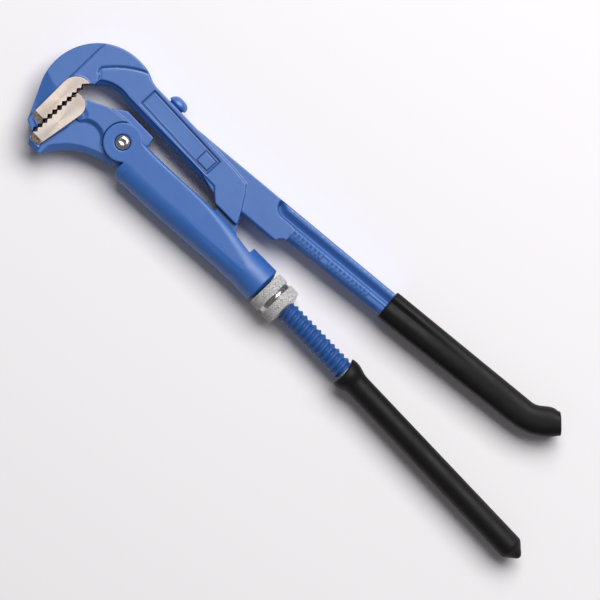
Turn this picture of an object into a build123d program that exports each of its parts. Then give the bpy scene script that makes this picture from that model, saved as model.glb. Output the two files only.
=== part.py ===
from build123d import *
import math
import os

# A bent-nose pipe wrench lying flat. It is drawn about the rivet of the moving jaw, with X along
# the spindle towards the handles, Y across the tool towards the fixed leg and Z up from the middle
# plane, and is moved at the end so that the origin lies under the middle of the whole tool.
# All sizes are in millimetres.

# Where the rivet of the moving jaw lies, seen from the final origin.
rivet_place = (-112.24, -13.8, 10.05)

# Half thicknesses, counted from the middle plane.
pad_level = 7.9
hook_level = 7.4
plate_level = 6.7
flat_level = 6.0
rim_level = 5.9
rib_level = 5.5
groove_level = 3.6
link_level = 3.4
tongue_level = 2.4
guide_level = 2.8
guide_slot_level = 3.2
neck_level = 5.3
ear_level = 4.2
channel_low_half = 4.5
cheek_inner = 5.55
cheek_outer = 8.3

# Jaws and teeth. The two rows meet on a line that leans a little.
jaw_line_x = -32.55
jaw_line_slope = 0.043
tooth_pitch = 3.1
tooth_depth = 1.2
tooth_gap = 0.4
hook_teeth = 11
jaw_teeth = 9
first_hook_notch = 5.2
first_jaw_notch = -1.0
fan_centre = (-14.2, -12.8)
fan_radius = 8.5

# Hook and shank of the fixed leg.
hook_crown_x = -51.0
hook_top_y = 33.0
crescent_x = -41.0
shank_top_y = 30.0
shank_low_y = 14.9
edge_bevel = 2.3
heel_bevel = 1.3
panel_length = 46.0
panel_width = 8.6
panel_depth = 0.6
panel_centre = (15.8, 23.2)
panel_lean = -1.3
mark_height = 0.5
mark_place = (34.2, 22.6)
mark_size = (7.0, 6.2)
mark_wall = 0.8
mark_dot_radius = 1.1
crescent_drop = 1.0
crescent_slope = 2.2

# Handle bar of the fixed leg: an I-section that narrows towards the grip.
bar_start = (85.0, 37.15)
bar_end = (148.0, 44.1)
bar_start_width = 13.9
bar_end_width = 12.6
rim_start_width = 2.2
rim_end_width = 2.6
groove_floor = 0.5
groove_start_place = (83.0, 32.9)
groove_start_length = 15.5
groove_start_lean = 2.0
band_depth = 0.25
ridge_groups = ((87.5, 8), (110.5, 10))
ridge_line_y = 28.6
ridge_line_growth = 1.12
ridge_step = 2.5
ridge_size = (1.2, 3.4)
ridge_height = 0.4
ridge_root = 1.2

# Grips.
grip_wall = 1.4
fixed_grip_half = 6.5
lower_grip_start = 151.0
lower_grip_end = 275.5

# Hinge between the fixed leg's tongue and the spindle's fork.
hinge = (60.0, -6.2)
hinge_pin_radius = 1.7
hinge_eye_radius = 3.0
running_gap = 0.06

# Spindle and sleeve.
spindle_y = 0.3
crest_radius = 5.5
root_radius = 4.45
thread_pitch = 3.15
thread_start = 91.0
thread_turns = 19
plain_radius = 5.4
bore_radius = 5.58
collar_radius = 9.8
collar_start = 80.2
collar_end = 97.0
slot_end = 70.6
stem_start = 68.5
channel_step = -6.6
channel_floor = -9.5
web_start = 7.2
cheek_radius = 9.5

# Nut.
nut_radius = 10.05
nut_start = 97.3
nut_end = 112.2
nut_groove_radius = 9.2

# Rivets and spring.
jaw_rivet_radius = 3.3
jaw_rivet_head = 3.55
jaw_rivet_height = 1.35
tongue_top_y = 12.1
rivet_ring_radius = 4.1
rivet_ring_depth = 0.5
neck_radius = 8.9
spring_rivet_x = 5.1
spring_rivet_radius = 2.0
spring_head_radius = 4.95
spring_top_y = 34.9
spring_thickness = 0.8
spring_roof_y = 20.4


def slab(outline, half_thickness, half_start=0.0):
    """A flat slab, mirrored above and below the middle plane where it starts away from it."""
    face = make_face(outline.edges()) if not isinstance(outline, Sketch) else outline
    if half_start == 0.0:
        return extrude(face, amount=half_thickness, both=True)
    upper = Pos(0, 0, half_start) * extrude(face, amount=half_thickness - half_start)
    return upper + mirror(upper, about=Plane.XY)


def sunk(area, floor, top):
    """A recess in both faces whose walls slope outwards from its floor at 45 degrees."""
    upper = extrude(Pos(0, 0, floor) * area, amount=top - floor, taper=-45)
    return upper + mirror(upper, about=Plane.XY)


def polygon(points):
    return Polyline(*points, close=True)


def rod(radius, start, end, centre_y=0.0):
    """A round bar along X."""
    return Plane(origin=(start, centre_y, 0), z_dir=(1, 0, 0)) * extrude(Circle(radius), amount=end - start)


def turned(profile, centre_y=0.0):
    """A solid of revolution about X from a closed outline of (x, radius) points or edges."""
    return Pos(0, centre_y, 0) * revolve(make_face(profile.edges()), axis=Axis.X)


def on_jaw_line(y, offset):
    return (jaw_line_x + jaw_line_slope * y + offset, y)


def tooth_row(first_notch, count, side):
    """The zigzag of one row of teeth from the throat to the tip: side is -1 on the hook."""
    points = []
    for tooth in range(count):
        notch = first_notch - tooth * tooth_pitch
        points.append(on_jaw_line(notch + tooth_pitch / 2, side * tooth_gap / 2))
        points.append(on_jaw_line(notch, side * (tooth_gap / 2 + tooth_depth)))
    last = first_notch - (count - 0.5) * tooth_pitch
    points.append(on_jaw_line(last, side * tooth_gap / 2))
    return points


# Fixed leg ---------------------------------------------------------------------------------------

hook_tip_inner = (-34.0, -28.0)
hook_tip_outer = (-40.0, -25.2)
hook_arc_start = (-48.3, -8.0)
hook_arc_end = (-20.5, hook_top_y)
shank_start = (-7.5, shank_top_y)
throat_corner = (-31.2, 8.2)


def leg_outline():
    """The whole front of the fixed leg: hook, throat, shank and the flat before the handle bar."""
    teeth = tooth_row(first_hook_notch, hook_teeth, -1)
    edges = Polyline(throat_corner, *teeth, hook_tip_inner, hook_tip_outer, hook_arc_start)
    edges += ThreePointArc(hook_arc_start, (hook_crown_x, 5.0), hook_arc_end)
    edges += Bezier(hook_arc_end, (-14.5, 33.2), (-13.0, 30.0), shank_start)
    edges += Polyline(shank_start, (20.0, shank_top_y), (74.0, 35.9), (88.0, 37.45))
    edges += Line((88.0, 37.45), (88.0, 23.7))
    edges += ThreePointArc((88.0, 23.7), (85.6, 22.3), (84.6, 20.2))
    edges += Polyline((84.6, 20.2), (82.6, 18.7), (63.6, 16.9), (66.0, 12.3), (65.2, 11.6))
    edges += Polyline((65.2, 11.6), (51.8, 11.6), (48.4, 14.3), (45.5, shank_low_y), (-14.0, shank_low_y))
    edges += ThreePointArc((-14.0, shank_low_y), (-24.0, 14.0), (-29.3, 9.4))
    edges += Line((-29.3, 9.4), throat_corner)
    return edges


def edges_on_flat(solid, x_range, y_range, shortest):
    """The edges of both faces of the flat whose middle lies in a box."""
    return [
        edge
        for edge in solid.edges()
        if abs(abs(edge.center().Z) - flat_level) < 0.01
        and x_range[0] < edge.center().X < x_range[1]
        and y_range[0] < edge.center().Y < y_range[1]
        and edge.length > shortest
    ]


def hook_layer():
    """The thicker ring of the hook, out to the curved step on the shank."""
    teeth = tooth_row(first_hook_notch, hook_teeth, -1)
    edges = Polyline(throat_corner, *teeth, hook_tip_inner, hook_tip_outer, hook_arc_start)
    edges += ThreePointArc(hook_arc_start, (hook_crown_x, 5.0), hook_arc_end)
    edges += Line(hook_arc_end, (-14.8, 31.8))
    edges += ThreePointArc((-14.8, 31.8), (-24.6, 25.6), (-32.3, 17.4))
    edges += ThreePointArc((-32.3, 17.4), (-32.2, 15.8), (-30.8, 15.2))
    edges += Polyline((-30.8, 15.2), (-29.3, 13.0), (-29.3, 9.4), throat_corner)
    return slab(edges, hook_level, flat_level)


def shank_layer():
    """The raised plate of the shank, which ends in a point over the tongue."""
    edges = Line((-29.3, 13.0), (-30.8, 15.2))
    edges += ThreePointArc((-30.8, 15.2), (-32.2, 15.8), (-32.3, 17.4))
    edges += ThreePointArc((-32.3, 17.4), (-24.6, 25.6), (-14.8, 31.8))
    edges += Polyline((-14.8, 31.8), (-12.4, 30.6), shank_start, (20.0, shank_top_y))
    edges += Polyline((20.0, shank_top_y), (46.0, 29.4), (55.2, 28.7), (58.0, 25.4), (61.0, 20.9))
    edges += Polyline((61.0, 20.9), (63.6, 16.9), (66.0, 12.3), (65.2, 11.6), (51.8, 11.6))
    edges += Polyline((51.8, 11.6), (48.4, 14.3), (45.5, shank_low_y + edge_bevel))
    edges += Line((45.5, shank_low_y + edge_bevel), (-14.0, shank_low_y + edge_bevel))
    edges += ThreePointArc((-14.0, shank_low_y + edge_bevel), (-22.0, 16.9), (-29.3, 13.0))
    return slab(edges, plate_level, flat_level)


def hook_pad():
    """The ground block of the hook's teeth, proud of the painted hook."""
    teeth = tooth_row(first_hook_notch, hook_teeth - 1, -1)
    edges = Polyline(throat_corner, *teeth, (-39.4, -22.0), (-40.2, -19.0), (-40.5, 0.0))
    edges += ThreePointArc((-40.5, 0.0), (-38.2, 6.2), throat_corner)
    return slab(edges, pad_level, flat_level)


def crescent_cut():
    """The wedge that thins the back of the hook towards its outer edge."""
    section = [
        (crescent_x, pad_level + 1),
        (crescent_x, hook_level - crescent_drop),
        (hook_crown_x - 2, hook_level - crescent_drop - crescent_slope),
        (hook_crown_x - 2, pad_level + 1),
    ]
    wedge = Plane.XZ * make_face(polygon(section).edges())
    upper = Pos(0, 40, 0) * extrude(wedge, amount=80)
    return upper + mirror(upper, about=Plane.XY)


def panel_cut():
    """The shallow rectangular panel in each face of the shank."""
    floor = plate_level - panel_depth
    floor_area = RectangleRounded(panel_length - 2 * panel_depth, panel_width - 2 * panel_depth, 0.6)
    return sunk(Pos(*panel_centre) * Rot(0, 0, panel_lean) * floor_area, floor, plate_level + 0.2)


def panel_mark():
    """A plain raised frame with a round dot at the rear end of each panel."""
    length, width = mark_size
    ring = RectangleRounded(length, width, 0.6)
    ring -= RectangleRounded(length - 2 * mark_wall, width - 2 * mark_wall, 0.4)
    mark = Pos(*mark_place) * Rot(0, 0, panel_lean) * (ring + Circle(mark_dot_radius))
    floor = plate_level - panel_depth
    return slab(mark, floor + mark_height, floor - 0.2)


def bar_section(width, rim, band):
    """The I-section of the handle bar: w runs from the inner edge to the outer edge."""
    wall = rim_level - groove_level
    trough = width - rim - wall
    rib_edge = trough - groove_floor - (band - groove_level)
    half = [
        (0.0, 3.0),
        (2.2, band - 0.4),
        (3.0, band - band_depth),
        (rib_edge - 0.9, band - band_depth),
        (rib_edge - 0.5, band),
        (rib_edge, band),
        (trough - groove_floor, groove_level),
        (trough, groove_level),
        (width - rim, rim_level),
        (width - 0.8, rim_level),
        (width, rim_level - 1.0),
    ]
    mirrored = [(w, -z) for w, z in reversed(half)]
    return make_face(polygon(half + mirrored).edges())


def bar_plane(end, width):
    """A plane across the handle bar, with its own origin on the inner edge."""
    run = Vector(bar_end[0] - bar_start[0], bar_end[1] - bar_start[1], 0).normalized()
    across = Vector(-run.Y, run.X, 0)
    corner = Vector(end[0], end[1], 0) - across * width
    return Plane(origin=corner, x_dir=across, z_dir=-run)


def handle_bar():
    start_section = bar_section(bar_start_width, rim_start_width, flat_level - 0.05)
    end_section = bar_section(bar_end_width, rim_end_width, rib_level)
    first = bar_plane(bar_start, bar_start_width) * start_section
    last = bar_plane(bar_end, bar_end_width) * end_section
    return loft([first, last], ruled=True)


def bar_lean():
    """The direction of the handle bar in degrees from X."""
    return math.degrees(math.atan2(bar_end[1] - bar_start[1], bar_end[0] - bar_start[0]))


def groove_start():
    """The rounded start of the handle's groove in the flat."""
    place = Pos(*groove_start_place) * Rot(0, 0, groove_start_lean)
    return sunk(place * SlotOverall(groove_start_length, 1.4), groove_level, flat_level + 0.2)


def ridge_row():
    """Two groups of plain raised bars on the handle's broad rib."""
    rise = math.tan(math.radians(bar_lean())) * ridge_line_growth
    starts = [start + step * ridge_step for start, count in ridge_groups for step in range(count)]
    bars = Part()
    for x in starts:
        y = ridge_line_y + (x - starts[0]) * rise
        share = (x - bar_start[0]) / (bar_end[0] - bar_start[0])
        level = flat_level + (rib_level - flat_level) * share - band_depth
        bar = Pos(x, y) * Rot(0, 0, bar_lean()) * Rectangle(*ridge_size)
        bars += slab(bar, level + ridge_height, level - ridge_root)
    return bars


def guide_slot():
    """The groove along the shank's lower edge for the moving jaw's tongue and the leaf spring."""
    area = polygon([(-31.0, 6.0), (52.4, 6.0), (52.4, 14.0), (47.0, spring_roof_y), (-31.0, spring_roof_y)])
    return slab(area, guide_slot_level)


def leg_tongue():
    """The tongue that hangs from the shank into the sleeve and is hinged to the spindle."""
    upper = slab(polygon([(54.0, 20.0), (54.0, 7.6), (68.6, 7.6), (69.0, 8.2), (63.8, 17.4)]), link_level)
    lower = slab(polygon([(53.2, 14.0), (56.6, -6.2), (63.4, -6.2), (67.2, 9.0), (66.0, 14.0)]), tongue_level)
    eye = slab(Pos(*hinge) * Circle(hinge_eye_radius), tongue_level)
    hole = slab(Pos(*hinge) * Circle(hinge_pin_radius + running_gap), tongue_level + 1)
    return upper + lower + eye - hole


def grip_outline():
    """The fixed grip from above: a long bar whose end is bent outwards."""
    edges = Polyline((145.0, 29.6), (143.4, 45.0), (226.0, 54.7))
    edges += Bezier((226.0, 54.7), (231.5, 55.6), (232.0, 60.8), (237.3, 60.9))
    edges += Bezier((237.3, 60.9), (240.2, 60.9), (242.5, 57.6), (246.3, 55.0))
    edges += Bezier((246.3, 55.0), (247.4, 53.8), (246.0, 51.5), (243.5, 48.8))
    edges += Bezier((243.5, 48.8), (239.5, 44.2), (233.0, 41.4), (225.0, 40.3))
    edges += Line((225.0, 40.3), (145.0, 29.6))
    return edges


def grip_core():
    """The handle bar inside the fixed grip, with its bent end."""
    edges = Polyline((142.0, 31.6), (140.6, 42.2), (226.0, 53.2), (230.6, 54.9), (235.0, 59.2), (238.2, 59.2))
    edges += Polyline((238.2, 59.2), (244.6, 54.0), (241.6, 49.2), (234.0, 44.0), (225.0, 41.8), (142.0, 31.6))
    return slab(edges, fixed_grip_half - grip_wall - 0.5)


def fixed_leg():
    leg = slab(leg_outline(), flat_level)
    leg = chamfer(edges_on_flat(leg, (-27.0, 47.0), (9.0, 16.0), 12.0), length=edge_bevel)
    leg = chamfer(edges_on_flat(leg, (66.0, 83.0), (16.0, 19.0), 12.0), length=heel_bevel)
    leg = leg + hook_layer() + shank_layer()
    leg = leg - crescent_cut() - panel_cut() - groove_start()
    leg = leg + hook_pad() + panel_mark() + handle_bar() + ridge_row()
    leg = leg - guide_slot() - spring_rivet_shank()
    leg = leg + leg_tongue() + grip_core()
    return leg


def fixed_grip(leg):
    grip = extrude(make_face(grip_outline().edges()), amount=fixed_grip_half, both=True)
    rims = [edge for edge in grip.edges() if abs(abs(edge.center().Z) - fixed_grip_half) < 0.01]
    grip = fillet(rims, radius=1.0)
    return grip - leg


# Leaf spring and its rivet -----------------------------------------------------------------------


def spring_rivet_shank():
    low = spring_roof_y - spring_thickness - 0.9
    place = Plane(origin=(spring_rivet_x, low, 0), z_dir=(0, 1, 0))
    return place * extrude(Circle(spring_rivet_radius), amount=shank_top_y - low)


def spring_rivet():
    """A blue-painted rivet with a low dome on the outer edge and an upset end under the spring."""
    top = spring_top_y - shank_top_y
    neck = spring_head_radius - 0.9
    edges = Polyline((0, 0), (neck, 0), (neck, 1.1), (spring_head_radius, 1.3), (spring_head_radius, 1.9))
    edges += Bezier((spring_head_radius, 1.9), (spring_head_radius - 0.3, 4.2), (2.6, top), (0, top))
    edges += Line((0, top), (0, 0))
    head = revolve(make_face(edges.edges()), axis=Axis.Y)
    upset = Plane(origin=(spring_rivet_x, spring_roof_y - spring_thickness - 0.9, 0), z_dir=(0, 1, 0))
    foot = upset * extrude(Circle(spring_rivet_radius + 0.5), amount=0.9)
    return Pos(spring_rivet_x, shank_top_y, 0) * head + spring_rivet_shank() + foot


def leaf_spring():
    """A flat leaf under the roof of the guide groove, whose free end bends down inside it."""
    half_width = 2.6
    low = spring_roof_y - spring_thickness
    edges = Line((12.5, spring_roof_y), (-11.0, spring_roof_y))
    edges += Bezier((-11.0, spring_roof_y), (-15.0, spring_roof_y), (-18.0, 19.4), (-21.6, 17.2))
    edges += Line((-21.6, 17.2), (-21.1, 16.5))
    edges += Bezier((-21.1, 16.5), (-17.6, 18.6), (-14.8, low), (-11.0, low))
    edges += Polyline((-11.0, low), (12.5, low), (12.5, spring_roof_y))
    return slab(edges, half_width) - spring_rivet_shank()


# Moving jaw --------------------------------------------------------------------------------------

jaw_top_corner = (-31.6, 0.9)


def jaw_outline():
    """The moving jaw from above, without its guide tongue."""
    teeth = tooth_row(first_jaw_notch, jaw_teeth, 1)
    edges = Polyline(jaw_top_corner, *teeth, (-33.4, -29.3), (-32.3, -31.6), (-31.0, -33.3), (-25.0, -33.3))
    edges += Polyline((-25.0, -33.3), (-23.9, -32.4), (-20.6, -26.6), (-17.0, -22.2))
    edges += Bezier((-17.0, -22.2), (-12.5, -17.6), (-5.0, -13.6), (4.8, -11.8))
    edges += Line((4.8, -11.8), (neck_radius * 0.88, -neck_radius * 0.475))
    edges += ThreePointArc((neck_radius * 0.88, -neck_radius * 0.475), (neck_radius, 0), (0, neck_radius))
    edges += Bezier((0, neck_radius), (-6.0, 8.5), (-14.0, 7.9), (-18.0, 6.4))
    edges += Bezier((-18.0, 6.4), (-22.0, 4.4), (-24.5, 2.6), (-27.6, 1.9))
    edges += Bezier((-27.6, 1.9), (-29.0, 1.4), (-30.0, 0.9), jaw_top_corner)
    return edges


def jaw_block():
    """The thick front of the jaw, kept clear of the sleeve's round cheeks."""
    body = slab(jaw_outline(), 7.2)
    clear = slab(Circle(cheek_radius + 0.45), 8.0, neck_level)
    rear = slab(polygon([(-5.0, -20.0), (14.0, -20.0), (14.0, 12.0), (-5.0, 12.0)]), 8.0, neck_level)
    return body - clear - rear


def fan_cut():
    """The lowered fan between the pad and the cheeks, open to the jaw's lower edge."""
    edges = Polyline((-23.0, -9.0), (-27.2, -28.0), (-24.6, -36.0), (10.0, -36.0), (10.0, -10.6), (-5.4, -10.6))
    edges += Line((-5.4, -10.6), (-14.2, -12.8))
    edges += Line((-14.2, -12.8), (-23.0, -9.0))
    return slab(edges, 8.0, neck_level) + sunk(Pos(*fan_centre) * Circle(fan_radius), neck_level, 8.0)


def jaw_pad():
    """The ground block of the moving jaw's teeth."""
    teeth = tooth_row(first_jaw_notch, jaw_teeth, 1)
    edges = Polyline(jaw_top_corner, *teeth, (-33.2, -28.8), (-31.0, -30.4), (-28.2, -29.8), (-27.0, -28.0))
    edges += Line((-27.0, -28.0), (-23.5, -5.5))
    edges += Bezier((-23.5, -5.5), (-23.0, -1.6), (-26.6, 2.4), jaw_top_corner)
    return slab(edges, pad_level)


def guide_tongue():
    """The thin fin on the jaw's back that runs in the fixed leg's groove."""
    edges = Polyline((-15.5, 6.0), (-15.5, 7.5), (-12.1, 10.3), (-9.3, tongue_top_y), (7.0, tongue_top_y))
    edges += ThreePointArc((7.0, tongue_top_y), (8.3, 11.8), (8.7, 10.9))
    edges += Polyline((8.7, 10.9), (9.4, 7.6), (7.4, 4.0), (0.0, 4.5), (-15.5, 6.0))
    return slab(edges, guide_level)


def moving_jaw():
    jaw = jaw_block() - fan_cut()
    jaw = jaw + (slab(jaw_outline(), neck_level) + jaw_pad() + guide_tongue())
    return jaw - slab(Circle(jaw_rivet_radius + running_gap), 9.0)


# Sleeve, rivet and nut ---------------------------------------------------------------------------


def sleeve_section(x, top, bottom, centre, half_width, corner, squareness):
    """One closed section of the sleeve: flat sides and round corners above its centre, a belly below."""
    count = 16
    middle = corner * math.sqrt(0.5)
    side_end = (x, top - corner, half_width)
    roof_start = (x, top, half_width - corner)
    round_middle = (x, top - corner + middle, half_width - corner + middle)
    belly = []
    for step in range(count + 1):
        angle = math.pi * step / count
        z = -half_width * math.copysign(abs(math.cos(angle)) ** (2 / squareness), math.cos(angle))
        y = centre - (centre - bottom) * math.sin(angle) ** (2 / squareness)
        belly.append((x, y, z))

    def opposite(point):
        return (point[0], point[1], -point[2])

    edges = Line((x, centre, half_width), side_end)
    edges += ThreePointArc(side_end, round_middle, roof_start)
    edges += Line(roof_start, opposite(roof_start))
    edges += ThreePointArc(opposite(roof_start), opposite(round_middle), opposite(side_end))
    edges += Line(opposite(side_end), (x, centre, -half_width))
    edges += Spline(*belly, tangents=[(0, -1, 0), (0, 1, 0)])
    return Face(Wire(edges.edges()))


def sleeve_shell():
    """The sleeve's outside: a deep U at the front that turns into a round tube."""
    inner = collar_radius - 0.1
    sections = [
        sleeve_section(web_start, 6.9, -15.0, -4.2, cheek_outer, 1.3, 2.3),
        sleeve_section(28.0, 7.5, -14.0, -3.4, cheek_outer, 1.5, 2.3),
        sleeve_section(50.0, 8.8, -12.3, -2.0, cheek_outer + 0.1, 2.1, 2.3),
        sleeve_section(68.0, 9.6, -10.8, -0.6, cheek_outer + 0.6, 5.4, 2.2),
        sleeve_section(84.0, spindle_y + inner, spindle_y - inner, spindle_y, inner, inner - 0.1, 2.0),
    ]
    return loft(sections)


def sleeve_collar():
    """The round rear end, which grows out of the shell and has a cone on its last edge."""
    outline = [
        (collar_start, 0),
        (collar_start, collar_radius - 0.6),
        (collar_start + 5.0, collar_radius),
        (collar_end - 1.5, collar_radius + 0.1),
        (collar_end, bore_radius + 0.7),
        (collar_end, 0),
    ]
    return turned(polygon(outline), spindle_y)


def sleeve_trim():
    """What the sleeve's upper rear edge and its slanted nose lack of the full shell."""
    rear = [(60.0, 9.6), (66.0, 9.3), (70.6, 8.1), (collar_start, 7.0), (collar_start, 20.0), (60.0, 20.0)]
    nose = [(web_start - 1, -20.0), (11.0, -20.0), (9.2, -15.0), (8.0, -13.0), (web_start, -12.0)]
    nose += [(web_start - 1, -12.0)]
    return slab(polygon(rear), 20.0) + slab(polygon(nose), 20.0)


def sleeve_channel():
    """The slot between the cheeks and inside the U, narrower at its floor, with a sloping end."""
    front = polygon([(-12.0, -20.0), (web_start, -20.0), (web_start, 20.0), (-12.0, 20.0)])
    wide = polygon([(-12.0, channel_step), (slot_end, channel_step), (slot_end, 20.0), (-12.0, 20.0)])
    low = polygon([
        (-12.0, channel_floor), (slot_end - 6.0, channel_floor), (slot_end, channel_step), (-12.0, channel_step)
    ])
    return slab(front, cheek_inner) + slab(wide, cheek_inner) + slab(low, channel_low_half)


def sleeve():
    cheeks = Circle(cheek_radius) + Pos(4.5, 0.1) * Rectangle(9.0, 12.2)
    body = (sleeve_shell() - sleeve_trim()) + slab(cheeks, cheek_outer) + sleeve_collar()
    body = body - sleeve_channel()
    body = body - rod(bore_radius, 60.0, 120.0, spindle_y)
    body = body - slab(Circle(jaw_rivet_radius), 9.0)
    return body - slab(Circle(rivet_ring_radius), 9.0, cheek_outer - rivet_ring_depth)


def jaw_rivet():
    """A polished rivet with a dome on each side."""
    top = cheek_outer + jaw_rivet_height
    base = cheek_outer - rivet_ring_depth
    edges = Polyline((0, 0), (jaw_rivet_radius, 0), (jaw_rivet_radius, base), (jaw_rivet_head, base))
    edges += Line((jaw_rivet_head, base), (jaw_rivet_head, cheek_outer))
    edges += Bezier((jaw_rivet_head, cheek_outer), (jaw_rivet_head - 0.3, top - 0.2), (1.5, top), (0, top))
    edges += Line((0, top), (0, 0))
    half = Rot(90, 0, 0) * revolve(make_face(edges.edges()), axis=Axis.Y)
    return half + mirror(half, about=Plane.XY)


def adjusting_nut():
    """The knurled ring nut, with a turned groove between its two knurled bands."""
    middle = (nut_start + nut_end - 1.4) / 2
    outline = [
        (nut_start, bore_radius),
        (nut_start, nut_radius - 0.4),
        (nut_start + 0.4, nut_radius),
        (middle - 1.2, nut_radius),
        (middle - 0.9, nut_groove_radius),
        (middle + 0.9, nut_groove_radius),
        (middle + 1.2, nut_radius),
        (nut_end - 1.6, nut_radius),
        (nut_end - 1.2, nut_radius - 0.4),
        (nut_end, bore_radius + 0.6),
        (nut_end, bore_radius),
    ]
    return turned(polygon(outline), spindle_y)


# Lower leg ---------------------------------------------------------------------------------------


def threaded_stem():
    """The stem with the round-crested thread drawn as rings."""
    edges = Polyline((stem_start, 0), (stem_start, plain_radius), (thread_start, plain_radius))
    edges += Line((thread_start, plain_radius), (thread_start, root_radius))
    for turn in range(thread_turns):
        start = thread_start + turn * thread_pitch
        rise = start + 0.3 * thread_pitch
        middle = start + 0.65 * thread_pitch
        end = start + thread_pitch
        edges += Line((start, root_radius), (rise, root_radius))
        edges += ThreePointArc((rise, root_radius), (middle, crest_radius), (end, root_radius))
    stem_end = thread_start + thread_turns * thread_pitch
    edges += Polyline((stem_end, root_radius), (stem_end + 5.0, root_radius), (stem_end + 5.0, 0))
    edges += Line((stem_end + 5.0, 0), (stem_start, 0))
    return turned(edges, spindle_y)


def grip_axis():
    """A plane whose Z runs down the lower grip, which droops a little from the spindle."""
    droop = Vector(lower_grip_end - lower_grip_start, -1.5, 0).normalized()
    return Plane(origin=(lower_grip_start, spindle_y - 0.1, 0), x_dir=(0, 0, 1), z_dir=droop)


def lower_grip_profile(shrink):
    """Half outline of the lower grip, as radius against length, or of the bar inside it."""
    length = lower_grip_end - lower_grip_start
    if shrink:
        points = [(0, 0.5), (3.9, 0.5), (3.9, 8.0), (4.5, 12.0), (4.9, length - 8.0), (1.2, length - 2.6)]
        return Polyline(*points, (0, length - 2.6), close=True)
    edges = Polyline((0, 0), (6.1, 0), (7.0, 1.0))
    edges += Bezier((7.0, 1.0), (7.5, 3.0), (7.4, 5.0), (6.6, 7.6))
    edges += Bezier((6.6, 7.6), (6.0, 9.6), (5.8, 11.0), (5.85, 14.0))
    edges += Line((5.85, 14.0), (6.15, length - 7.4))
    edges += Bezier((6.15, length - 7.4), (6.1, length - 5.6), (5.2, length - 5.0), (4.2, length - 3.8))
    edges += Bezier((4.2, length - 3.8), (2.0, length - 1.6), (1.2, length), (0, length))
    return edges + Line((0, length), (0, 0))


def turned_on_grip_axis(profile):
    upright = Rot(90, 0, 0) * revolve(make_face(profile.edges()), axis=Axis.Y)
    return grip_axis() * upright


def spindle_fork():
    """Two ears that straddle the fixed leg's tongue and hold the hinge pin."""
    side = [(70.0, 4.0), (68.2, 3.4), (64.0, -2.2), (60.6, -3.2), (60.0, -9.2), (62.0, -8.9), (66.0, -6.0)]
    side += [(70.0, -4.4)]
    inner = tongue_level + 0.3
    ears = slab(polygon(side), ear_level, inner) + slab(Pos(*hinge) * Circle(hinge_eye_radius), ear_level, inner)
    return ears - slab(Pos(*hinge) * Circle(hinge_pin_radius), 9.0)


def spindle_leg():
    return threaded_stem() + spindle_fork() + turned_on_grip_axis(lower_grip_profile(True))


def lower_grip(leg):
    mouth = rod(root_radius + 0.1, lower_grip_start - 2.0, lower_grip_start + 4.0, spindle_y)
    return turned_on_grip_axis(lower_grip_profile(False)) - leg - mouth


def pivot_pin():
    return slab(Pos(*hinge) * Circle(hinge_pin_radius), ear_level)


# Write every piece -------------------------------------------------------------------------------

leg = fixed_leg()
stem = spindle_leg()

pieces = {
    "fixed_leg": leg,
    "fixed_grip": fixed_grip(leg),
    "leaf_spring": leaf_spring(),
    "spring_rivet": spring_rivet(),
    "spindle_leg": stem,
    "lower_grip": lower_grip(stem),
    "pivot_pin": pivot_pin(),
    "sleeve": sleeve(),
    "jaw_rivet": jaw_rivet(),
    "adjusting_nut": adjusting_nut(),
    "moving_jaw": moving_jaw(),
}

os.makedirs("parts", exist_ok=True)
for name, shape in pieces.items():
    placed = Pos(*rivet_place) * shape
    export_step(placed, f"parts/{name}.step")
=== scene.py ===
import math

import bmesh
import bpy
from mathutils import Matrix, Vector, noise


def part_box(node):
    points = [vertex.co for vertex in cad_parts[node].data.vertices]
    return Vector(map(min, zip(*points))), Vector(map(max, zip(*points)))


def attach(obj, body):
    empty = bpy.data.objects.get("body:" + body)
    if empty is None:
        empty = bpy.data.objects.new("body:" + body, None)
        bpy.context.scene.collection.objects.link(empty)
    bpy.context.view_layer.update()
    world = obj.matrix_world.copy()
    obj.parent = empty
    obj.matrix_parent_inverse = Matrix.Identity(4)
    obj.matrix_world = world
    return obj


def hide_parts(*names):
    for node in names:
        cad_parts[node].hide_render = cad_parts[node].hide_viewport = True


# The looks of a bent-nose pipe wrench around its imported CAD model. Blender works in metres; the
# sizes below are in millimetres, counted from the jaw rivet's axis in the tool's middle plane, with
# X along the spindle towards the handles and Y towards the fixed leg.

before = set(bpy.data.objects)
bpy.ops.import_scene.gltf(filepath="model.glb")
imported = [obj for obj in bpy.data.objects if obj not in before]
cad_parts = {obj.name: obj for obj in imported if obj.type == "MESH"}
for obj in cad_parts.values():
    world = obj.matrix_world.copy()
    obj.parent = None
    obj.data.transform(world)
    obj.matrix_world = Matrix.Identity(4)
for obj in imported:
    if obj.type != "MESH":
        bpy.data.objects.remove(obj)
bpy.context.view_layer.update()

MM = 0.001
rivet_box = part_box("jaw_rivet")
RIVET = (rivet_box[0] + rivet_box[1]) / 2
nut_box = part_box("adjusting_nut")
SPINDLE_Y = ((nut_box[0] + nut_box[1]) / 2 - RIVET).y / MM


def at(x, y, z=0.0):
    """A place in the row frame from millimetres about the jaw rivet."""
    return RIVET + Vector((x, y, z)) * MM


def local(point):
    """Millimetres about the jaw rivet from a place in the row frame."""
    return (Vector(point) - RIVET) / MM


# Mesh tools --------------------------------------------------------------------------------------


def link(obj):
    bpy.context.scene.collection.objects.link(obj)
    return obj


def mesh_piece(name, points, faces, smooth=True):
    """A new piece from points and faces, shaded smooth unless told otherwise."""
    mesh = bpy.data.meshes.new(name)
    mesh.from_pydata(points, [], faces)
    mesh.validate()
    for face in mesh.polygons:
        face.use_smooth = smooth
    return link(bpy.data.objects.new(name, mesh))


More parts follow.
